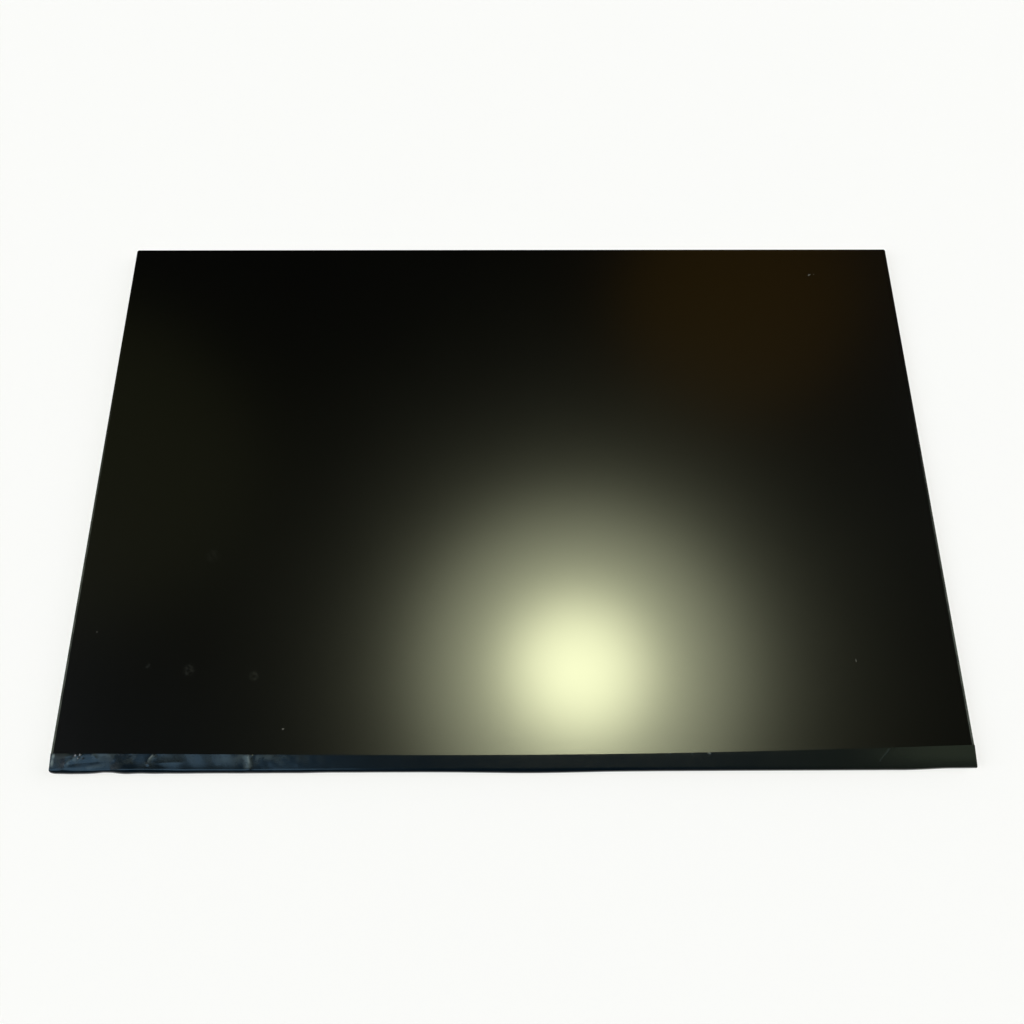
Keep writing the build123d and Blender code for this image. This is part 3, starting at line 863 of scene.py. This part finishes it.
def tape_points():
    """Rows run from the upper edge down the stretched slope, round the bend and back under the panel; columns
    run along the width. The relief pushes each point out along the section's normal, the bulge pushes the bend
    outwards, and the inner face lies one thickness inside the outer one."""
    left, right = tape_low[0], tape_high[0]
    x = np.concatenate(
        [
            np.linspace(left, left + fine_reach, fine_columns, endpoint=False),
            np.linspace(left + fine_reach, right, plain_columns),
        ]
    )[None, :]
    edge_places = np.array([seen_on(*pixel, face_top) for pixel in edge_pixels])
    edge_curve = np.polyfit(edge_places[:, 0] / right, edge_places[:, 1], edge_degree)
    edge = np.polyval(edge_curve, x / right)

    share = np.linspace(0, 1, top_rows)[:, None]
    top_y = edge + (slope_foot - edge) * share
    top_z = face_top - math.tan(slope) * (film_low[1] - top_y)
    top_normal = np.stack([-math.sin(slope) + 0 * top_y, math.cos(slope) + 0 * top_y])

    angle = np.linspace(slope, math.pi, bend_rows + 1)[1:, None] + 0 * x
    bend_normal = np.stack([-np.sin(angle), np.cos(angle)])
    bend_y = bend_line + bend_radius * bend_normal[0]
    bend_z = bend_middle + bend_radius * bend_normal[1]
    bend_way = -bend_radius * (angle - slope)

    back = np.linspace(0, 1, rear_rows + 1)[1:, None] + 0 * x
    rear_y = bend_line + (rear_end - bend_line) * back
    rear_z = tape_low[2] + 0 * back
    rear_normal = np.stack([0 * back, -np.ones_like(back)])
    rear_way = bend_way[-1] - (rear_y - bend_line)

    y = np.concatenate([top_y, bend_y, rear_y])
    z = np.concatenate([top_z, bend_z, rear_z])
    normal = np.concatenate([top_normal, bend_normal, rear_normal], axis=1)
    way = np.concatenate([top_y - slope_foot, bend_way, rear_way])

    worn = 1 - smooth(x, *worn_span)
    soft = 1 - smooth(x, *soft_span)
    slack = 0.08 + 0.32 * soft + 0.60 * worn + 0.06 * smooth(x, *right_slack_span)
    loose = 1 - smooth(x, *loose_span)
    stuck = 1 - (1 - smooth(edge - y, 0.0, stuck_reach)) * (1 - loose)
    stuck[top_rows:] = 1.0
    rest = 1 - smooth(-way, bend_radius * 2.0, bend_radius * 2.8)
    zigzag = folds(x, way, fold_seed, fold_count, shortest_fold, longest_fold)
    relief = slack * (fold_level + fold_height * zigzag)
    for fold in crease_list:
        relief = relief + crease(x, way, *fold)
    relief = np.maximum(relief, 0) * stuck * rest
    for centre, radius, height in bubble_list:
        relief = relief + bubble(x, way, centre, radius, height)

    bulge = left_push * (1 - smooth(np.abs(x - left_push_middle), *left_push_span))
    bulge = bulge - right_tuck * smooth(x, *right_tuck_span)
    for middle, reach, push in swell_list:
        bulge = bulge + push * np.exp(-(((x - middle) / reach) ** 2))
    corner = np.clip((left + corner_radius - x) / corner_radius, 0, 1)
    bulge = bulge - corner_depth * (1 - np.sqrt(1 - corner**2))
    belly = np.concatenate([0 * top_y, np.sin(angle), 0 * back])

    outer = np.stack([x + 0 * y, y + normal[0] * relief - bulge * belly, z + normal[1] * relief], axis=-1)
    run_y, run_z = np.gradient(outer[..., 1], axis=0), np.gradient(outer[..., 2], axis=0)
    run = np.hypot(run_y, run_z)
    inner = outer + tape_thickness * np.stack([0 * run, -run_z / run, run_y / run], axis=-1)
    return outer, inner


def add_tape(material):
    """The tape's outer and inner faces, closed round their four edges."""
    outer, inner = tape_points()
    rows, columns = outer.shape[:2]
    count = rows * columns
    number = np.arange(count).reshape(rows, columns)
    ring = np.concatenate([number[0, :-1], number[:-1, -1], number[-1, :0:-1], number[:0:-1, 0]])
    after = np.roll(ring, -1)
    rim = np.stack([ring, after, after + count, ring + count], axis=1)
    skin = grid_faces(rows, columns)
    faces = np.concatenate([skin, skin[:, ::-1] + count, rim[:, ::-1]])
    points = np.concatenate([outer.reshape(-1, 3), inner.reshape(-1, 3)])
    piece = add_mesh("crinkled_driver_tape", points, faces, material)
    piece.data.set_sharp_from_angle(angle=sharp_angle)
    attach(piece, "root")
    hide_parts("driver_cover_tape")


# Dust on the screen

dust_list = (
    # pixel, half length, half width, turn
    ((283, 729), 0.42, 0.30, 0.3),
    ((809, 275), 0.66, 0.34, 0.6),
    ((813.5, 274.5), 0.24, 0.14, 0.7),
    ((856, 660.5), 0.55, 0.20, 1.75),
    ((97, 632), 0.22, 0.16, 0.0),
)
dust_rings = 4
dust_spokes = 10
dust_tip = 0.08
dust_height = 0.5


def dust_grain(place, length, width, turn):
    """A low dome on an oval: rings from the rim to the top, each ring a turn of an uneven oval."""
    round_trip = np.arange(dust_spokes) * 2 * math.pi / dust_spokes
    ring = np.linspace(1, dust_tip, dust_rings)[:, None]
    uneven = 1 + 0.18 * np.sin(3 * round_trip + 5 * turn) + 0.10 * np.cos(5 * round_trip)
    along = ring * length * uneven * np.cos(round_trip)
    aside = ring * width * uneven * np.sin(round_trip)
    x = place[0] + along * math.cos(turn) - aside * math.sin(turn)
    y = place[1] + along * math.sin(turn) + aside * math.cos(turn)
    z = film_high[2] + dust_height * width * np.sqrt(1 - ring**2) + 0 * x
    return np.stack([x, y, z], axis=-1).reshape(-1, 3)


def add_dust(material):
    """All the grains in one mesh, each with a closed top and a closed foot."""
    grains = [dust_grain(seen_on(*pixel, film_high[2]), *shape) for pixel, *shape in dust_list]
    each = dust_rings * dust_spokes
    spoke = np.arange(dust_spokes)
    after = (spoke + 1) % dust_spokes
    level_at = np.arange(dust_rings - 1)[:, None] * dust_spokes
    lower, lower_after = level_at + spoke, level_at + after
    walls = np.stack([lower, lower_after, lower_after + dust_spokes, lower + dust_spokes], axis=-1)
    pairs = np.arange(dust_spokes // 2 - 1)
    cap = np.stack([pairs, pairs + 1, dust_spokes - 2 - pairs, dust_spokes - 1 - pairs], axis=1)
    one = np.concatenate([walls.reshape(-1, 4), cap + each - dust_spokes, cap[:, ::-1]])
    faces = np.concatenate([one + each * n for n in range(len(grains))])
    piece = add_mesh("dust_grains", np.concatenate(grains), faces, material)
    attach(piece, "root")


# Floor, light and background

floor_reach = 60000.0
floor_drop = 0.01
glare_pixel = (578, 670)
warm_pixel = (738, 300)
dim_pixel = (98, 466)
mirrored_lamps = (
    # name, pixel that the screen mirrors it in, light, tint, width in degrees
    ("glare_core", glare_pixel, 0.707, (0.965, 1.0, 0.61), 8.8),
    ("glare_halo", glare_pixel, 0.549, (0.955, 1.0, 0.67), 22.0),
    ("warm_lamp", warm_pixel, 0.0175, (1.0, 0.50, 0.0), 16.0),
    ("dim_lamp", dim_pixel, 0.0135, (0.95, 1.0, 0.40), 19.5),
)
box_lamps = (
    # name, direction that it stands in, light, tint, width in degrees
    ("cool_box", (-0.372, -0.388, 0.844), 0.25, (0.36, 0.67, 1.0), 24.0),
    ("left_box", (-0.84, -0.08, 0.537), 1.65, (0.90, 0.95, 1.0), 40.0),
    ("right_box", (0.86, 0.32, 0.40), 1.35, (0.92, 0.94, 1.0), 40.0),
)
sky_horizon = 1.20
sky_top = 0.006
sky_tint = (1.0, 1.0, 1.0)
backdrop_tint = (0.831, 0.833, 0.822)
dusk_heights = (0.15, 0.46)
dusk_depths = (-0.85, -0.40)


def add_floor():
    """A level square just under the panel, far larger than the view."""
    reach = np.linspace(-floor_reach, floor_reach, 3)
    x, y = np.meshgrid(reach, reach)
    z = np.full_like(x, cad_box[0][2] / MM - floor_drop)
    points = np.stack([x, y, z], axis=-1).reshape(-1, 3)
    paper = finish("pale_floor", {**DULL, "Emission Strength": 1.0}, pale_floor)
    floor = add_mesh("floor", points, grid_faces(*x.shape)[:, ::-1], paper)


def add_lamp(name, direction, light, tint, width):
    """A far lamp of a given angular width, by the direction that it stands in and the light that it gives."""
    lamp = bpy.data.lights.new(name, "SUN")
    lamp.energy = light
    lamp.color = tint
    lamp.angle = math.radians(width)
    stand = bpy.data.objects.new(name, lamp)
    stand.rotation_mode = "QUATERNION"
    stand.rotation_quaternion = Vector(direction).to_track_quat("Z", "Y")
    bpy.context.scene.collection.objects.link(stand)


def add_sky():
    """A pale band at the horizon that darkens towards the top and towards the front, by each direction's height
    and depth; the camera itself sees an even backdrop of the floor's tone."""
    sky = bpy.data.worlds.new("studio")
    sky.use_nodes = True
    tree = sky.node_tree
    direction = Field(tree, tree.nodes.new("ShaderNodeTexCoord").outputs["Generated"])
    x, y, z = direction.axes()
    straight = direction.node("ShaderNodeLightPath", "Is Camera Ray", {}, {})
    band = (1 - z.step(*dusk_heights)) * y.step(*dusk_depths)
    light = band.blend((sky_top, sky_top, sky_top), sky_tint)
    feed(tree, tree.nodes["Background"].inputs["Color"], straight.blend(light, backdrop_tint))
    tree.nodes["Background"].inputs["Strength"].default_value = sky_horizon
    bpy.context.scene.world = sky


add_camera()
dress_solids()
add_tape(finish("wrap_tape", PLAIN, wrap_tape))
add_dust(finish("dust_fluff", DULL, dust_fluff))
add_floor()
add_sky()
for name, pixel, light, tint, width in mirrored_lamps:
    add_lamp(name, sight_line(*pixel) * (1, 1, -1), light, tint, width)
for lamp in box_lamps:
    add_lamp(*lamp)

bpy.context.scene.view_settings.view_transform = "Standard"
